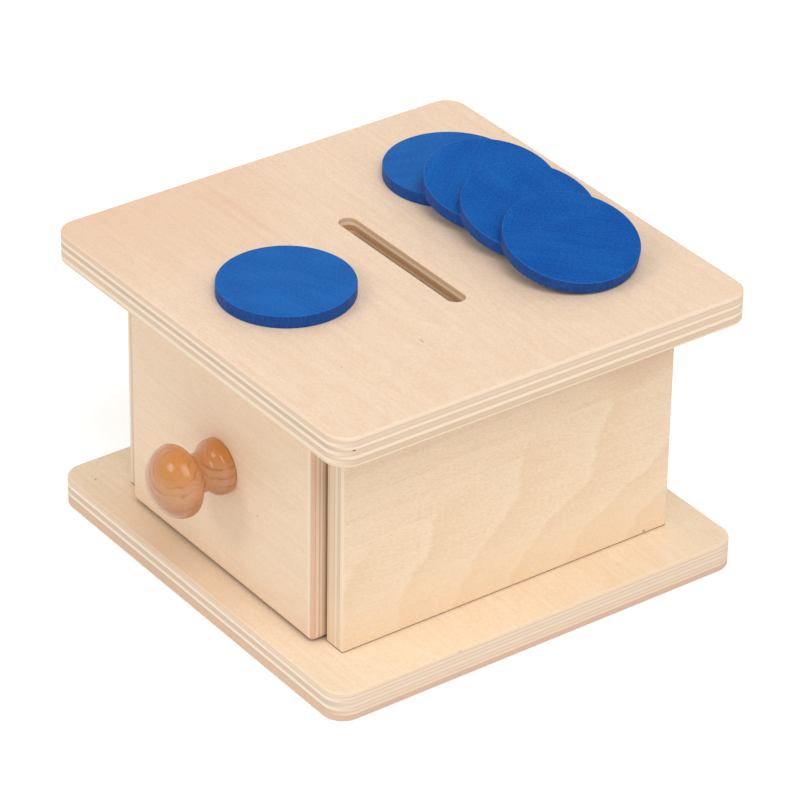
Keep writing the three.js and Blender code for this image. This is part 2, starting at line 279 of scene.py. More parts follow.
def new_finish(name):
    """Starts a material and gives it with its point and its outward direction on the piece."""
    made = bpy.data.materials.new(name)
    made.use_nodes = True
    tree = made.node_tree
    place = tree.nodes.new("ShaderNodeTexCoord")
    return made, Wire(tree, place.outputs["Object"]), Wire(tree, place.outputs["Normal"])


def set_shader(made, **sockets):
    """Sets or links the sockets of a material's own shader."""
    shader = made.node_tree.nodes["Principled BSDF"]
    for key, value in sockets.items():
        socket = shader.inputs[key.replace("_", " ")]
        if isinstance(value, Wire):
            made.node_tree.links.new(value.socket, socket)
        else:
            socket.default_value = value


def grain_noise(along, over, depth, size, detail=2.0, distortion=0.0):
    """Noise drawn out along the grain. Size is its length and its width in millimetres."""
    length, width = size
    return noise(along / length, over / width, depth, detail, distortion)


PLY_SOFTNESS = 0.12


def ply_stops(plies, glue):
    """Turns plies, each a share of the thickness and a colour, into stops with glue between."""
    total = sum(share for share, tone in plies)
    stops = []
    reached = 0.0
    for share, tone in plies:
        start = reached / total
        reached += share
        end = reached / total
        soft = PLY_SOFTNESS * (end - start)
        if stops:
            stops.append((start, glue))
        stops.append((start + soft, tone))
        stops.append((end - soft, tone))
    return stops


# A drift is how far a pattern shifts for each millimetre of depth, so that no two layers match.
FIGURE_DRIFT = 0.02
STREAK_SIZE = (60, 1.7)
YEAR_SIZE = (75, 34)
YEAR_COUNT = 9
YEAR_STRENGTH = 0.18


def plain_figure(along, over, layer, seed):
    """The figure of a plainly peeled veneer: fine streaks and faint wavy year lines, about nought."""
    shift = layer * FIGURE_DRIFT + seed
    streak = grain_noise(along, over, shift, STREAK_SIZE)
    height = grain_noise(along, over, shift + 5, YEAR_SIZE, 2.0, 0.6) * YEAR_COUNT
    year = height.maths("FRACT", height)
    return streak * 0.8 + (year * (1 - year.step(0.9, 1.0)) - 0.45) * YEAR_STRENGTH


def spot(place, middle, reach):
    """A soft spot about a point, both in millimetres: 1 in its middle and 0 past its reach."""
    away = 0.0
    for axis in (X, Y, Z):
        offset = (place[axis] - middle[axis] * MM) / (reach[axis] * MM)
        away = offset * offset + away
    return 1 - away.step(0.0, 1.0)


FIBRE_DRIFT = 0.1
FIBRE_SIZE = (1.7, 0.6)
PORE_SIZE = (2.4, 0.26)
PORE_STRENGTH = 0.34
MOTTLE_SIZE = (9, 2.6)
PLY_DRIFT = 0.01
PLY_WANDER = 0.02
PLY_WANDER_SIZE = (16, 16)
SAW_MARK_SIZE = (4, 4)
SAW_MARK_HEIGHT = 0.13
SAW_MARK_STRENGTH = 0.2
GRAIN_RELIEF = 0.2 * MM
SLOT_FADE = (0.5, 0.3)
NEVER_NOUGHT = 0.0001


def plywood(
    name, node, thickness, grain, face, ends, sides, glue, seed,
    figure=plain_figure, turn=(0.55, 0.9), marks=(), slot=None,
):
    """Plywood for one board. Face is its pale, deep and pore colour; ends are the plies on the
    edges that its grain runs out at, and sides the plies on the edges along its grain. The seed
    says where on the veneer the board was cut, and each pattern adds a number of its own to it.
    Turn says how squarely a surface has to face outwards to show the face veneer and not the plies.
    A mark has a middle, a reach, a strength and a colour. A slot has a middle, half its length and
    half its width, and the plies on its walls."""
    made, point, outward = new_finish(name)
    low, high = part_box(node)
    cross = 3 - thickness - grain
    place = point.axes()
    facing = outward.axes()
    along = (place[grain] - (low[grain] + high[grain]) / 2) / MM
    over = (place[cross] - (low[cross] + high[cross]) / 2) / MM
    depth = (place[thickness] - low[thickness]) / (high[thickness] - low[thickness])
    layer = depth * ((high[thickness] - low[thickness]) / MM)

    pale, deep, pore = face
    shift = layer * FIBRE_DRIFT + seed
    fibre = grain_noise(along, over, shift + 9, FIBRE_SIZE, 3.0)
    pores = grain_noise(along, over, shift + 13, PORE_SIZE, 1.0).step(0.13, 0.26)
    mottle = grain_noise(along, over, shift + 17, MOTTLE_SIZE)
    warmth = (0.5 + fibre * 1.6 + mottle * 0.4 + figure(along, over, layer, seed)).step(0.0, 1.0)
    front = (pores * PORE_STRENGTH).mix(warmth.mix(pale, deep), pore)

    wander = grain_noise(along, over, layer * PLY_DRIFT + seed + 21, PLY_WANDER_SIZE)
    ply = depth + wander * PLY_WANDER
    to_end = facing[grain] * facing[grain]
    to_side = facing[cross] * facing[cross]
    share = to_end / (to_end + to_side + NEVER_NOUGHT)
    end_tone = ply.node("ShaderNodeValToRGB", {"stops": ply_stops(ends, glue)}, {0: ply})
    side_tone = ply.node("ShaderNodeValToRGB", {"stops": ply_stops(sides, glue)}, {0: ply})
    hair = grain_noise(along, over, layer / SAW_MARK_HEIGHT + seed + 31, SAW_MARK_SIZE, 3.0)
    cut = (0.5 + hair * 2.2).step(0.0, 1.0) * SAW_MARK_STRENGTH
    edge = cut.mix(share.mix(side_tone, end_tone), glue)
    if slot is not None:
        middle, half_length, half_width, plies = slot
        stops = ply_stops(plies, plies[0][1])
        slot_tone = ply.node("ShaderNodeValToRGB", {"stops": stops}, {0: ply})
        aside = abs(along - middle.x / MM) - half_length
        across = abs(over - middle.y / MM) - half_width
        inside = aside.step(*SLOT_FADE) * across.step(*SLOT_FADE)
        edge = inside.mix(edge, cut.mix(slot_tone, glue))

    on_edge = 1 - abs(facing[thickness]).step(*turn)
    tone = on_edge.mix(front, edge)
    # A mark is a speck or streak of the wood's own tone, or a patch of painted shade or painted light.
    for middle, reach, strength, colouring in marks:
        tone = (spot(place, middle, reach) * strength).mix(tone, colouring)
    rough = 0.52 + fibre * 0.12 + pores * 0.08 + on_edge * 0.14
    relief = fibre * 0.4 - pores * 0.5 + on_edge * (hair * 0.6)
    sockets = {"Strength": 0.12, "Distance": GRAIN_RELIEF, "Height": relief}
    bump = relief.node("ShaderNodeBump", {}, sockets)
    set_shader(made, Base_Color=tone, Roughness=rough, Normal=bump)
    return made


def dress(piece, finish):
    """Gives a piece one finish all over."""
    piece.data.materials.clear()
    piece.data.materials.append(finish)


def stand_for(piece, node, body, finish):
    """Puts a finished piece in a node's place on its body."""
    dress(piece, finish)
    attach(piece, body)
    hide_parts(node)


BASE_FACE = (colour(250, 231, 205), colour(243, 217, 184), colour(220, 184, 148))
PLY_GLUE = colour(208, 178, 152)
BASE_ENDS = [
    (2.2, colour(226, 191, 167)),
    (1.4, colour(248, 222, 196)),
    (1.6, colour(243, 219, 194)),
    (1.6, colour(249, 228, 205)),
    (1.6, colour(245, 222, 198)),
    (1.6, colour(248, 227, 203)),
    (1.5, colour(252, 223, 191)),
]
BASE_SIDES = [
    (4.0, colour(230, 197, 170)),
    (1.8, colour(255, 242, 220)),
    (1.7, colour(230, 202, 179)),
    (1.8, colour(255, 242, 220)),
    (1.5, colour(248, 222, 197)),
    (0.7, colour(251, 226, 198)),
]
SPECK_TONE = colour(122, 82, 50)
BASE_MARKS = [
    # Painted shade: a darker strip along the front of the base, below the drawer and the top board's
    # overhang.
    ((-30.0, -88.0, 12.0), (80.0, 18.0, 3.0), 0.3, colour(212, 174, 140)),
    ((-76.4, -81.0, 11.5), (0.7, 0.5, 0.8), 0.6, SPECK_TONE),
    ((89.0, -36.6, 10.9), (0.7, 1.2, 0.4), 0.3, SPECK_TONE),
]
base_wood = plywood(
    "base_plywood", "base_board", Z, X, BASE_FACE, BASE_ENDS, BASE_SIDES, PLY_GLUE, 3.0,
    marks=BASE_MARKS,
)
stand_for(base, "base_board", "case", base_wood)

# Case walls: two plywood sides and a back that stand on the base. Their edges are lightly eased,
# and the sides show their plies at the front of the box.
WALL_FACE = (colour(252, 229, 200), colour(241, 209, 172), colour(214, 174, 136))
BACK_FACE = (colour(248, 222, 190), colour(238, 206, 168), colour(212, 172, 134))
WALL_OUTER_FIRST = [
    (2.0, colour(252, 233, 208)),
    (1.5, colour(231, 207, 180)),
    (1.7, colour(247, 227, 200)),
    (3.5, colour(240, 213, 183)),
    (1.3, colour(234, 203, 170)),
]
WALL_GLUE = colour(214, 184, 154)
# Painted shade: a dark brown laid in the creases and narrow gaps where the walls meet the base and
# beside the drawer front.
CREASE_SHADE_TONE = colour(116, 78, 44)
wall_plies = list(reversed(WALL_OUTER_FIRST))
CASE_SIDE = 67.5
ALL_OVER = 500.0
# Painted shade: the bottom 0.8 mm of each wall is darkened as a shadow line where it stands on the
# base.
wall_foot_shade = ((0.0, 0.0, base_high.z / MM), (ALL_OVER, ALL_OVER, 0.8), 0.8, CREASE_SHADE_TONE)
RIGHT_MARKS = [
    # Painted light: the lower part of the right wall is lightened, as if lit by light thrown up from
    # the base.
    ((CASE_SIDE, 0.0, 18.0), (ALL_OVER, ALL_OVER, 20.0), 0.35, colour(255, 230, 195)),
    # Painted shade: a darker, warmer patch high on the right wall, under the top board's overhang.
    ((CASE_SIDE, 56.0, 90.0), (ALL_OVER, 26.0, 16.0), 0.3, colour(222, 176, 138)),
    wall_foot_shade,
    ((CASE_SIDE, 62.2, 12.8), (0.8, 0.9, 0.7), 0.6, SPECK_TONE),
]
FLAME_TIP = 6.4
FLAME_SLOPE = 0.27
FLAME_YEAR = 38
FLAME_START = 33
FLAME_STRENGTH = 0.32
FLAME_WOBBLE = 16
FLAME_WOBBLE_SIZE = (14, 9)
FLAME_STREAK_SIZE = (40, 1.4)


def flame_figure(along, over, layer, seed):
    """The pointed figure of a veneer peeled near a fork: each year starts dark at a sharp line,
    runs to a tip towards the back, and fades until the next. About nought."""
    shift = layer * FIGURE_DRIFT + seed
    tip = FLAME_TIP + along * FLAME_SLOPE - over
    above = tip.maths("MAXIMUM", 0 - tip, 0.0) * 4
    below = tip.maths("MAXIMUM", tip, 0.0) * 0.3
    foot = (26 + along * 0.4) * over.step(-9.0, -43.0)
    wobble = grain_noise(along, over, shift, FLAME_WOBBLE_SIZE) * FLAME_WOBBLE
    height = (along + above + below + foot + wobble + FLAME_START) / FLAME_YEAR
    year = height.maths("FRACT", height)
    left = 1 - year
    fading = left * left * year.step(0.0, 0.08) - year.step(0.8, 1.0) * 0.4
    calm = 1 - tip.step(3.0, -8.0) * 0.6
    streak = grain_noise(along, over, shift + 3, FLAME_STREAK_SIZE)
    return fading * calm * FLAME_STRENGTH - 0.1 + streak * 0.4


right_wood = plywood(
    "right_wall_plywood", "right_wall", X, Y, WALL_FACE, wall_plies, wall_plies, WALL_GLUE, 11.0,
    figure=flame_figure, marks=RIGHT_MARKS,
)
left_wood = plywood(
    "left_wall_plywood", "left_wall", X, Y, WALL_FACE, WALL_OUTER_FIRST, WALL_OUTER_FIRST, WALL_GLUE,
    17.0, marks=[wall_foot_shade],
)
back_wood = plywood(
    "back_wall_plywood", "back_wall", Y, X, BACK_FACE, wall_plies, wall_plies, WALL_GLUE, 23.0,
    marks=[wall_foot_shade],
)
dress(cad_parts["right_wall"], right_wood)
dress(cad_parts["left_wall"], left_wood)
dress(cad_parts["back_wall"], back_wood)

# Wall screws: zinc-plated countersunk wood screws with a cross recess, driven up through the
# base into the walls, two to each wall. Only their heads can be seen, from underneath.
SCREW_TIP = 4 * MM
RECESS_LENGTH = 3.8 * MM
RECESS_WIDTH = 0.9 * MM
RECESS_DEPTH = 1.4 * MM
HEAD_EASING = 0.12 * MM
HEAD_EASING_STEPS = 2
POINT_SHARE = 0.12


def copy_of(piece, name):
    """Copies a piece with a mesh of its own."""
    copy = piece.copy()
    copy.data = piece.data.copy()
    copy.name = name
    copy.data.name = name
    bpy.context.scene.collection.objects.link(copy)
    return copy


def wood_screw(name, length):
    """Models a screw that stands on its head at the origin."""
    bpy.ops.object.select_all(action="DESELECT")
    bpy.ops.mesh.primitive_cone_add(
        vertices=SCREW_SIDES,
        radius1=SCREW_HEAD_RADIUS,
        radius2=SCREW_SHANK_RADIUS,
        depth=SCREW_HEAD_HEIGHT,
        location=(0, 0, SCREW_HEAD_HEIGHT / 2),
    )
    screw = bpy.context.object
    screw.name = name
    screw.data.name = name
    bpy.ops.object.transform_apply(location=True, rotation=True, scale=True)
    extrude_cap(screw, UP, length - SCREW_HEAD_HEIGHT - SCREW_TIP)
    extrude_cap(screw, UP, SCREW_TIP)
    bpy.ops.object.mode_set(mode="EDIT")
    bpy.ops.transform.resize(value=(POINT_SHARE, POINT_SHARE, 1))
    bpy.ops.object.mode_set(mode="OBJECT")
    for turn in (0, 1):
        half = Vector((RECESS_LENGTH / 2, RECESS_WIDTH / 2, RECESS_DEPTH))
        if turn:
            half = Vector((half.y, half.x, half.z))
        recess = block("recess", -half, half)
        cut_away(screw, recess)
    bevel_edges(screw, lambda edge: is_rim(edge, Z, 0.0), HEAD_EASING, HEAD_EASING_STEPS)
    return screw


def drive(screw, head_face, direction):
    """Puts a screw in its hole."""
    put_in_place(screw, head_face, direction.to_track_quat("Z", "Y").to_euler())
    sand_smooth(screw)


PLATING_SIZE = 2 * MM
TURNING_WIDTH = 0.4 * MM
TURNING_PITCH = 0.05 * MM
steel, point, outward = new_finish("zinc_plated_steel")
place = point.axes()
plating = noise(place[X] / PLATING_SIZE, place[Y] / PLATING_SIZE, place[Z] / PLATING_SIZE)
turning = noise(place[X] / TURNING_WIDTH, place[Y] / TURNING_WIDTH, place[Z] / TURNING_PITCH, 3.0)
worn = (0.5 + plating * 1.4 + turning * 0.4).step(0.1, 0.9)
plate_tone = worn.mix(colour(172, 170, 160), colour(206, 203, 194))
plate_rough = 0.34 + plating * 0.2 + turning * 0.08
set_shader(steel, Base_Color=plate_tone, Roughness=plate_rough, Metallic=1.0)

screw_low, screw_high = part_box(WALL_SCREWS[0])
loose_screw = wood_screw("loose_screw", screw_high.z - screw_low.z)
for node in WALL_SCREWS:
    screw = copy_of(loose_screw, "driven_" + node)
    drive(screw, screw_head(node), UP)
    stand_for(screw, node, "case", steel)
bpy.data.objects.remove(loose_screw)

# Top board: the square lid that the coins lie on, of plywood like the base. The coin slot is
# routed right through it, with round ends, and all its edges are sanded round.
top_low, top_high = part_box("top_board")
SLOT_LENGTH = 71.6 * MM
SLOT_WIDTH = 7 * MM
SLOT_SIDE_OFFSET = 1 * MM
SLOT_BACK_OFFSET = 0.2 * MM
SLOT_EASING = 0.4 * MM
SLOT_STEPS = 16
FINE_STEPS = 3
# Just under half the width, so that the two curves of a round end do not run into each other.
SLOT_ROUND = SLOT_WIDTH / 2 * 0.9999


def is_end_rim(edge, low, high):
    """Says whether an edge turns a sharp corner at the foot or at the head of a piece."""
    return is_rim(edge, Z, low) or is_rim(edge, Z, high)


top = block("sanded_top", top_low, top_high)
bevel_edges(top, lambda edge: runs_along(edge, Z), CORNER_RADIUS, CORNER_STEPS)
slot_half = Vector((SLOT_LENGTH / 2, SLOT_WIDTH / 2, CUT_REACH))
slot_middle = Vector((SLOT_SIDE_OFFSET, SLOT_BACK_OFFSET, (top_low.z + top_high.z) / 2))
router = block("slot_router", slot_middle - slot_half, slot_middle + slot_half)
bevel_edges(router, lambda edge: runs_along(edge, Z), SLOT_ROUND, SLOT_STEPS)
bevel_edges(top, lambda edge: is_end_rim(edge, top_low.z, top_high.z), BOARD_EASING, EASING_STEPS)
cut_away(top, router)
bevel_edges(top, lambda edge: is_end_rim(edge, top_low.z, top_high.z), SLOT_EASING, FINE_STEPS)
sand_smooth(top)

TOP_FACE = (colour(249, 222, 194), colour(240, 207, 176), colour(206, 166, 134))
TOP_GLUE = colour(216, 188, 160)
TOP_LIGHT = colour(255, 235, 208)
TOP_ENDS = [
    (1.3, colour(250, 227, 197)),
    (1.9, colour(228, 201, 171)),
    (1.6, TOP_LIGHT),
    (2.1, colour(233, 208, 178)),
    (1.4, TOP_LIGHT),
    (2.0, colour(236, 212, 184)),
    (1.6, colour(253, 229, 203)),
]
TOP_SIDES = [
    (1.0, colour(242, 219, 191)),
    (2.1, colour(253, 233, 205)),
    (1.6, colour(232, 203, 174)),
    (1.7, colour(255, 237, 212)),
    (1.5, colour(220, 192, 165)),
    (1.6, colour(255, 237, 212)),
    (1.5, colour(238, 209, 182)),
    (1.0, colour(251, 223, 195)),
]
PINK_TONE = colour(231, 182, 148)
TOP_MARKS = [
    ((-105.0, -55.0, 115.0), (95.0, 75.0, 4.0), 0.32, PINK_TONE),
    ((-61.0, -26.8, 115.0), (38.0, 2.2, 1.0), 0.3, PINK_TONE),
    ((-50.0, -32.0, 115.0), (30.0, 1.4, 1.0), 0.2, PINK_TONE),
    ((51.0, -27.3, 115.0), (1.6, 0.35, 0.5), 0.6, SPECK_TONE),
    ((49.4, -60.0, 115.0), (0.7, 0.3, 0.5), 0.5, SPECK_TONE),
    ((88.7, -82.6, 109.9), (1.0, 1.0, 0.35), 0.95, colour(60, 40, 28)),
]
SLOT_PLIES = [
    (5.1, colour(222, 182, 142)),
    (1.7, colour(255, 230, 202)),
    (2.1, colour(216, 166, 120)),
    (1.5, colour(255, 238, 206)),
    (1.6, colour(240, 200, 160)),
]
top_slot = (slot_middle, SLOT_LENGTH / 2 / MM, SLOT_WIDTH / 2 / MM, SLOT_PLIES)
top_wood = plywood(
    "top_plywood", "top_board", Z, X, TOP_FACE, TOP_ENDS, TOP_SIDES, TOP_GLUE, 29.0,
    marks=TOP_MARKS, slot=top_slot,
)
stand_for(top, "top_board", "case", top_wood)

# Dowels: turned beech pegs glued blind between the walls and the top board, two in each wall.
# They are hidden inside the finished box.
PEG_FIBRE = 0.5 * MM
PEG_FIBRE_LENGTH = 12 * MM
dowel_wood, point, outward = new_finish("beech_dowel")
place = point.axes()
peg_grain = noise(place[X] / PEG_FIBRE, place[Y] / PEG_FIBRE, place[Z] / PEG_FIBRE_LENGTH, 3.0)
peg_tone = (0.5 + peg_grain * 1.8).step(0.0, 1.0).mix(colour(228, 196, 152), colour(206, 168, 122))
set_shader(dowel_wood, Base_Color=peg_tone, Roughness=0.7 + peg_grain * 0.2)
for number in range(1, 7):
    dress(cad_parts[f"top_dowel_{number}"], dowel_wood)

# Drawer box: two thin plywood sides and a back, glued up round a floor that slides into grooves.
# Their top edges are sanded. The box rests on the base and runs between the case walls.
DRAWER_EASING = 0.6 * MM
GROOVE_ROOM = 0.1 * MM
floor_low, floor_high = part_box("drawer_floor")
groove_low = floor_low - Vector((GROOVE_ROOM, GROOVE_ROOM, 0))
groove_high = floor_high + Vector((GROOVE_ROOM, CUT_REACH, GROOVE_ROOM))
THIN_FACE = (colour(244, 217, 184), colour(233, 200, 162), colour(206, 166, 128))
THIN_GLUE = colour(188, 152, 118)
THIN_PLIES = [
    (1.2, colour(240, 216, 184)),
    (1.4, colour(212, 180, 146)),
    (1.2, colour(243, 222, 192)),
    (1.4, colour(210, 178, 145)),
    (1.2, colour(240, 216, 184)),
]
FLOOR_PLIES = [
    (1.0, colour(238, 213, 180)),
    (1.1, colour(206, 172, 138)),
    (1.0, colour(238, 213, 180)),
]

for node, thickness, grain, seed in (
    ("drawer_left_side", X, Y, 37.0),
    ("drawer_right_side", X, Y, 41.0),
    ("drawer_back", Y, X, 43.0),
):
    low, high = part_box(node)
    wall = block("sanded_" + node, low, high)
    if grain == Y:
        cut_away(wall, block("groove", groove_low.copy(), groove_high.copy()))
    bevel_edges(wall, lambda edge: is_rim(edge, Z, high.z), DRAWER_EASING, FINE_STEPS)
    sand_smooth(wall)
    thin_wood = plywood(
        node + "_plywood", node, thickness, grain, THIN_FACE, THIN_PLIES, THIN_PLIES, THIN_GLUE, seed
    )
    stand_for(wall, node, "drawer", thin_wood)

floor_wood = plywood(
    "drawer_floor_plywood", "drawer_floor", Z, X, THIN_FACE, FLOOR_PLIES, FLOOR_PLIES, THIN_GLUE, 47.0
)
dress(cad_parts["drawer_floor"], floor_wood)

# Drawer front: a plywood panel with its edges rounded over, standing a little proud of the side
# walls. It is grooved behind for the floor and bored for the knob's screw.
FRONT_EASING = 1.6 * MM
FRONT_EASING_STEPS = 5
FORWARD = Vector((0, -1, 0))
front_low, front_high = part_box("drawer_front")
knob_low, knob_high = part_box("knob")
knob_screw_low, knob_screw_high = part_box("knob_screw")
knob_middle = Vector(((knob_low.x + knob_high.x) / 2, front_low.y, (knob_low.z + knob_high.z) / 2))
knob_screw_face = Vector((knob_middle.x, knob_screw_high.y, knob_middle.z))
front = block("sanded_drawer_front", front_low, front_high)
bevel_edges(front, lambda edge: edge.calc_face_angle(0) > SHARP_ANGLE, FRONT_EASING, FRONT_EASING_STEPS)
cut_away(front, block("groove", groove_low.copy(), groove_high.copy()))
cut_away(front, screw_hole(knob_screw_face, FORWARD))
sand_smooth(front)

FRONT_FACE = (colour(249, 224, 195), colour(241, 211, 178), colour(214, 176, 142))
FRONT_GLUE = colour(206, 172, 142)
FRONT_PLIES = [
    (0.1, colour(246, 212, 186)),
    (1.5, colour(232, 190, 162)),
    (1.5, colour(238, 216, 192)),
    (0.5, colour(216, 190, 162)),
    (0.9, colour(238, 214, 190)),
    (0.5, colour(214, 188, 160)),
    (1.2, colour(238, 212, 186)),
    (2.7, colour(228, 196, 166)),
    (1.1, colour(244, 222, 196)),
]
# Painted shade: the bottom 1 mm of the drawer front is darkened as the shade in the narrow gap above
# the base.
front_foot_shade = ((0.0, 0.0, front_low.z / MM), (ALL_OVER, ALL_OVER, 1.0), 0.6, CREASE_SHADE_TONE)
FRONT_MARKS = [
    front_foot_shade,
    # Painted highlight: a pale line down the drawer front's right rounded edge, where it catches the
    # light.
    ((54.9, -77.2, 57.0), (1.2, 1.0, ALL_OVER), 0.4, colour(255, 234, 212)),
    # Painted shade: the back of the drawer front's right end is darkened as the shade in the gap beside
    # the wall.
    ((56.8, -70.8, 57.0), (1.0, 1.6, ALL_OVER), 0.5, CREASE_SHADE_TONE),
    ((23.7, -77.2, 47.3), (0.6, 0.5, 0.6), 0.5, SPECK_TONE),
]
front_wood = plywood(
    "drawer_front_plywood", "drawer_front", Y, X, FRONT_FACE, FRONT_PLIES, FRONT_PLIES, FRONT_GLUE,
    53.0, turn=(0.9, 0.985), marks=FRONT_MARKS,
)
stand_for(front, "drawer_front", "drawer", front_wood)

# Knob: turned from one piece of hardwood on a lathe, with a flared foot, a narrow neck and an
# egg-shaped head, varnished to a satin gloss. One screw from inside the drawer holds it.
KNOB_LENGTH = 28.3 * MM
FOOT_RADIUS = 10.4 * MM
FOOT_EDGE = 2.0 * MM
FOOT_ROUND = 0.7 * MM
FOOT_ROUND_STEPS = 4
NECK_RADIUS = 7.3 * MM
NECK_DISTANCE = 9.2 * MM
HEAD_RADIUS = 13.6 * MM
HEAD_DISTANCE = 18.4 * MM
PILOT_RADIUS = SCREW_SHANK_RADIUS + SCREW_ROOM
PILOT_DEPTH = 13.5 * MM
CURVE_STEPS = 16
HEAD_STEPS = 32
LATHE_STEPS = 96
SEAM_WIDTH = 0.002 * MM


def s_curve(from_radius, from_height, to_radius, to_height):
    """Points of a smooth double curve between two radii, without its first point."""
    middle = (from_height + to_height) / 2
    points = []
    for number in range(1, CURVE_STEPS + 1):
        t = number / CURVE_STEPS
        u = 1 - t
        first, second, third, fourth = u ** 3, 3 * u * u * t, 3 * u * t * t, t ** 3
        radius = (first + second) * from_radius + (third + fourth) * to_radius
        height = first * from_height + (second + third) * middle + fourth * to_height
        points.append((radius, height))
    return points


profile = [
    (0, PILOT_DEPTH),
    (PILOT_RADIUS, PILOT_DEPTH),
    (PILOT_RADIUS, 0),
    (FOOT_RADIUS - FOOT_ROUND, 0),
]
for number in range(1, FOOT_ROUND_STEPS + 1):
    angle = number * math.pi / (2 * FOOT_ROUND_STEPS)
    profile.append((
        FOOT_RADIUS - FOOT_ROUND + FOOT_ROUND * math.sin(angle),
        FOOT_ROUND - FOOT_ROUND * math.cos(angle),
    ))
profile.append((FOOT_RADIUS, FOOT_EDGE))
profile += s_curve(FOOT_RADIUS, FOOT_EDGE, NECK_RADIUS, NECK_DISTANCE)
profile += s_curve(NECK_RADIUS, NECK_DISTANCE, HEAD_RADIUS, HEAD_DISTANCE)
for number in range(1, HEAD_STEPS + 1):
    angle = number * math.pi / (2 * HEAD_STEPS)
    nose = (KNOB_LENGTH - HEAD_DISTANCE) * math.sin(angle)
    profile.append((HEAD_RADIUS * math.cos(angle), HEAD_DISTANCE + nose))

bpy.ops.object.select_all(action="DESELECT")
bpy.ops.mesh.primitive_plane_add(size=MM)
knob = bpy.context.object
knob.name = "turned_knob"
knob.data.name = "turned_knob"
bpy.ops.object.mode_set(mode="EDIT")
bpy.ops.mesh.select_all(action="SELECT")
bpy.ops.mesh.delete(type="VERT")
outline = bmesh.from_edit_mesh(knob.data)
corners = [
    outline.verts.new((knob_middle.x + radius, knob_middle.y - height, knob_middle.z))
    for radius, height in profile
]
for first, second in zip(corners, corners[1:]):
    outline.edges.new((first, second))
for corner in outline.verts:
    corner.select_set(True)
outline.select_flush(True)
bmesh.update_edit_mesh(knob.data)
bpy.ops.mesh.spin(steps=LATHE_STEPS, angle=2 * math.pi, center=knob_middle, axis=(0, 1, 0))
bpy.ops.mesh.select_all(action="SELECT")
bpy.ops.mesh.remove_doubles(threshold=SEAM_WIDTH)
bpy.ops.mesh.normals_make_consistent(inside=False)
bpy.ops.object.mode_set(mode="OBJECT")
sand_smooth(knob)

varnished, point, outward = new_finish("varnished_hardwood")
place = point.axes()
knob_x = (place[X] - knob_middle.x) / MM
knob_y = (place[Y] - knob_middle.y) / MM
knob_z = (place[Z] - knob_middle.z) / MM
# An eye is where the growth rings close on the surface, from the middle of the knob's foot.
HEAD_EYE = (4.7, -22.8, 10.4)
FOOT_EYE = (4.0, -3.0, 9.5)
FOOT_RING_START = 0.5
RING_WIDTH = 2.9
RING_WANDER = 4.5


def away_from(point, middle):
    """The distance in millimetres from a point on the knob to where its growth rings close."""
    total = 0.0
    for value, centre in zip(point, middle):
        total = (value - centre) * (value - centre) + total
    return total.maths("SQRT", total)


wander = noise(knob_x / 5, knob_y / 5, knob_z / 5, 3.0)
head_ring = away_from((knob_x, knob_y, knob_z), HEAD_EYE)
foot_ring = away_from((knob_x, knob_y, knob_z), FOOT_EYE) + FOOT_RING_START
ring = head_ring.maths("MINIMUM", head_ring, foot_ring) + wander * RING_WANDER
years = ring / RING_WIDTH
year = years.maths("FRACT", years)
line = year.step(0.5, 0.88) * (1 - year.step(0.88, 1.0)) * ring.step(3.5, 6.5)
clear = (0.5 + noise(knob_x / 6, knob_y / 6, knob_z / 6 + 11)).step(0.42, 0.66)
fleck = noise(knob_x / 0.5, knob_y / 3.0, knob_z / 0.5, 2.0)
blush = noise(knob_x / 9, knob_y / 11, knob_z / 9 + 3)
early_tone = (ring.step(2.0, 13.0) + blush * 0.7).mix(colour(204, 134, 67), colour(208, 154, 113))
outer_tone = ring.step(12.0, 18.0).mix(early_tone, colour(192, 134, 92))
ring_tone = (line * (0.1 + clear * 0.5)).mix(outer_tone, colour(174, 104, 58))
knob_tone = ((0.5 + fleck * 1.8).step(0.2, 1.0) * 0.22).mix(ring_tone, colour(174, 108, 64))
set_shader(
    varnished,
    Base_Color=knob_tone,
    Roughness=0.45 + fleck * 0.1,
    Specular_IOR_Level=0.0,
    Coat_Weight=1.0,
    Coat_Roughness=0.14,
    Coat_IOR=1.42,
)
stand_for(knob, "knob", "drawer", varnished)

knob_screw = wood_screw("driven_knob_screw", knob_screw_high.y - knob_screw_low.y)
drive(knob_screw, knob_screw_face, FORWARD)
stand_for(knob_screw, "knob_screw", "drawer", steel)

# Coins: five thin discs of close-grained wood, sanded at the rim and stained blue so that the
# grain shows. They lie loose on the top board, and four of them lean on each other in a row.
COIN_RADIUS = 24.96 * MM
COIN_THICKNESS = 5 * MM
COIN_EASING = 0.6 * MM
COIN_STEPS = 128
COIN_LINE_SIZE = (26, 0.9)
COIN_FIBRE_SIZE = (1.0, 0.5)
COIN_PATCH_SIZE = (14, 9)
LINE_DRIFT = 0.1
COIN_FIBRE_DRIFT = 0.4
# How far each coin's grain is turned, in degrees, and how much deeper than the palest its stain is.
COIN_LOOKS = {
    "coin_1": (20, 0.0),
    "coin_2": (75, 0.0),
    "coin_3": (128, 0.15),
    "coin_4": (8, 0.2),
    "coin_5": (52, 0.3),
}

bpy.ops.object.select_all(action="DESELECT")
bpy.ops.mesh.primitive_cylinder_add(vertices=COIN_STEPS, radius=COIN_RADIUS, depth=COIN_THICKNESS)
blank = bpy.context.object
half_thickness = COIN_THICKNESS / 2
bevel_edges(
    blank,
    lambda edge: is_end_rim(edge, -half_thickness, half_thickness),
    COIN_EASING,
    EASING_STEPS,
)


def coin_axis(node):
    """The way that a coin's upper face looks, from the largest facet of its CAD node."""
    facets = [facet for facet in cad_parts[node].data.polygons if facet.normal.z > 0.5]
    return max(facets, key=lambda facet: facet.area).normal.normalized()


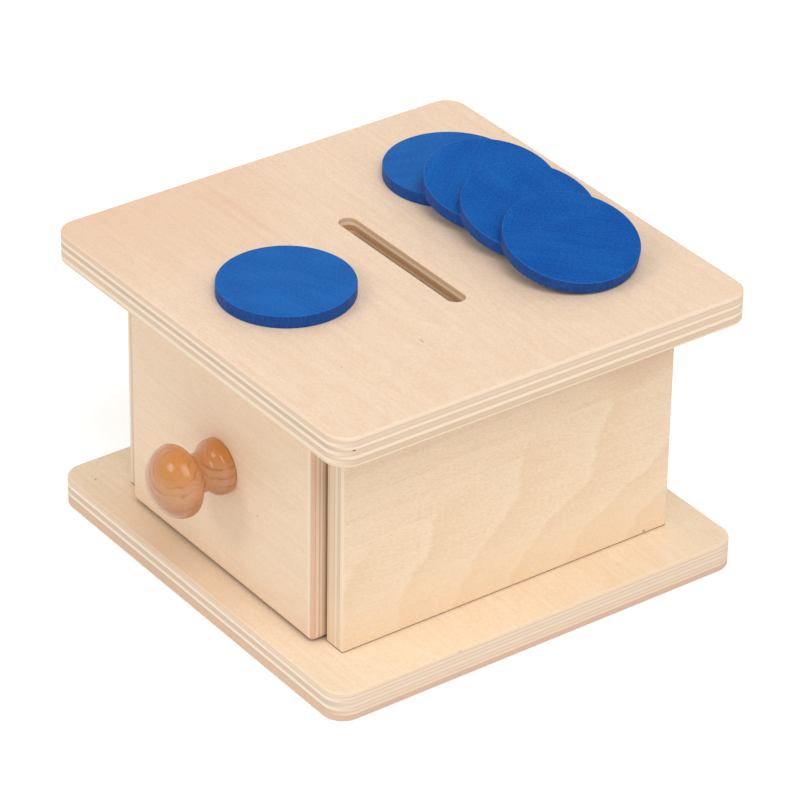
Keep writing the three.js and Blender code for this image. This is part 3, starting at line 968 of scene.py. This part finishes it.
def blue_stain(name, middle, turned, axis, depth, seed):
    """Blue water stain on wood, with its grain turned as the coin lies. Depth is how much darker
    than the palest coin it took the stain."""
    made, point, outward = new_finish(name)
    sockets = {"Vector": point, "Location": middle, "Rotation": turned.to_euler()}
    local = point.node("ShaderNodeMapping", {"vector_type": "TEXTURE"}, sockets)
    place = local.axes()
    along = place[X] / MM
    over = place[Y] / MM
    deep = place[Z] / MM
    line = grain_noise(along, over, deep * LINE_DRIFT + seed, COIN_LINE_SIZE, 3.0)
    fibre = grain_noise(along, over, deep * COIN_FIBRE_DRIFT + seed + 4, COIN_FIBRE_SIZE)
    patch = grain_noise(along, over, deep * LINE_DRIFT + seed + 8, COIN_PATCH_SIZE)
    settings = {"operation": "DOT_PRODUCT"}
    flat = abs(outward.node("ShaderNodeVectorMath", settings, {0: outward, 1: axis}, "Value"))
    rim = 1 - flat.step(0.55, 0.92)
    # The rounded arris is painted a lighter blue: partly stain worn off the edge, partly a painted
    # highlight.
    arris_wear_and_sheen = flat.step(0.3, 0.7) * (1 - flat.step(0.75, 0.98))
    soaked = (0.5 + depth + line * 0.5 + fibre * 1.6 + patch * 0.7).step(0.0, 1.2)
    face = soaked.mix(colour(18, 108, 187), colour(3, 74, 158))
    wet = (0.5 + fibre * 1.2 + line * 0.6).step(0.0, 1.0)
    side = wet.mix(colour(38, 86, 162), colour(20, 66, 142))
    colouring = (arris_wear_and_sheen * 0.35).mix(rim.mix(face, side), colour(64, 128, 204))
    height = fibre * 0.6 + line * 0.4
    sockets = {"Strength": 0.14, "Distance": GRAIN_RELIEF, "Height": height}
    bump = height.node("ShaderNodeBump", {}, sockets)
    rough = 0.5 + fibre * 0.2 + line * 0.1
    set_shader(made, Base_Color=colouring, Roughness=rough, Specular_IOR_Level=0.1, Normal=bump)
    return made


for number, (node, (turn, depth)) in enumerate(COIN_LOOKS.items()):
    low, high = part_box(node)
    middle = (low + high) / 2
    axis = coin_axis(node)
    lean = math.atan2(axis.x, axis.z)
    turned = Matrix.Rotation(lean, 3, "Y") @ Matrix.Rotation(math.radians(turn), 3, "Z")
    coin = copy_of(blank, "stained_" + node)
    put_in_place(coin, middle, turned.to_euler())
    sand_smooth(coin)
    colouring = blue_stain(node + "_stain", middle, turned, axis, depth, 61.0 + 7 * number)
    stand_for(coin, node, node, colouring)
bpy.data.objects.remove(blank)

# Studio: a plain white floor under an even white sky, with two soft lamps: one in front and to
# the left, and a stronger one to the right. The camera looks down from the front right.
FLOOR_SIZE = 30.0
FLOOR_DROP = 0.3 * MM
bpy.ops.object.select_all(action="DESELECT")
bpy.ops.mesh.primitive_plane_add(size=FLOOR_SIZE, location=(0, 0, -FLOOR_DROP))
ground = bpy.context.object
ground.name = "studio_floor"
bpy.ops.object.transform_apply(location=True, rotation=True, scale=True)


def shown(tree):
    """1 for a ray from the camera, off a gloss or through glass, which sees white, and 0 for others."""
    rays = tree.nodes.new("ShaderNodeLightPath")
    seen = Wire(tree, rays.outputs["Is Camera Ray"])
    mirrored = Wire(tree, rays.outputs["Is Glossy Ray"])
    passed = Wire(tree, rays.outputs["Is Transmission Ray"])
    return seen.maths("MAXIMUM", seen, mirrored.maths("MAXIMUM", mirrored, passed))


# The lift makes the floor white where it is seen or mirrored, and adds no light to the box.
FLOOR_LIFT = 0.36
paper, point, outward = new_finish("white_paper")
lift = shown(paper.node_tree).mix((0, 0, 0, 1), (FLOOR_LIFT, FLOOR_LIFT, FLOOR_LIFT, 1))
set_shader(
    paper,
    Base_Color=colour(246, 246, 246),
    Roughness=0.9,
    Specular_IOR_Level=0.0,
    Emission_Color=lift,
    Emission_Strength=1.0,
)
dress(ground, paper)

SKY_LIGHT = 0.57
sky = bpy.data.worlds.new("white_sky")
sky.use_nodes = True
bpy.context.scene.world = sky
background = sky.node_tree.nodes["Background"]
background.inputs["Color"].default_value = (1, 1, 1, 1)
strength = SKY_LIGHT + (1 - SKY_LIGHT) * shown(sky.node_tree)
sky.node_tree.links.new(strength.socket, background.inputs["Strength"])


LAMP_DISTANCE = 2.5
LAMP_AIM = Vector((0, 0, 60 * MM))


def soft_lamp(name, direction, size, power):
    """A square soft lamp, its size in metres, that shines at the middle of the box."""
    lamp = bpy.data.lights.new(name, "AREA")
    lamp.shape = "SQUARE"
    lamp.size = size
    lamp.energy = power
    holder = bpy.data.objects.new(name, lamp)
    bpy.context.scene.collection.objects.link(holder)
    way = Vector(direction).normalized()
    holder.location = LAMP_AIM + way * LAMP_DISTANCE
    holder.rotation_euler = way.to_track_quat("Z", "Y").to_euler()


soft_lamp("front_lamp", (-0.2, -1.0, 0.78), size=0.8, power=9.5)
soft_lamp("right_lamp", (0.92, -0.24, 1.38), size=1.5, power=25.8)

AZIMUTH = math.radians(53.599)
ELEVATION = math.radians(31.488)
ROLL = math.radians(0.912)
FOCAL_PIXELS = 4564.26
IMAGE_PIXELS = 800
SENSOR = 36.0
DISTANCE = 1645.469 * MM
AIM_HEIGHT = 57 * MM
AIM_RIGHT = 1.077 * MM
AIM_UP = -0.823 * MM
FAR_CLIP = 100
back = Vector((
    math.sin(AZIMUTH) * math.cos(ELEVATION),
    -math.cos(AZIMUTH) * math.cos(ELEVATION),
    math.sin(ELEVATION),
))
level_right = Vector((math.cos(AZIMUTH), math.sin(AZIMUTH), 0))
level_up = back.cross(level_right)
right = math.cos(ROLL) * level_right + math.sin(ROLL) * level_up
up = math.cos(ROLL) * level_up - math.sin(ROLL) * level_right
lens = bpy.data.cameras.new("studio_camera")
lens.sensor_fit = "HORIZONTAL"
lens.sensor_width = SENSOR
lens.lens = FOCAL_PIXELS * SENSOR / IMAGE_PIXELS
lens.clip_end = FAR_CLIP
camera = bpy.data.objects.new("studio_camera", lens)
bpy.context.scene.collection.objects.link(camera)
position = Vector((0, 0, AIM_HEIGHT)) + right * AIM_RIGHT + up * AIM_UP + back * DISTANCE
turn = Matrix((right, up, back)).transposed().to_4x4()
camera.matrix_world = Matrix.Translation(position) @ turn
bpy.context.scene.camera = camera
bpy.context.scene.view_settings.view_transform = "Standard"
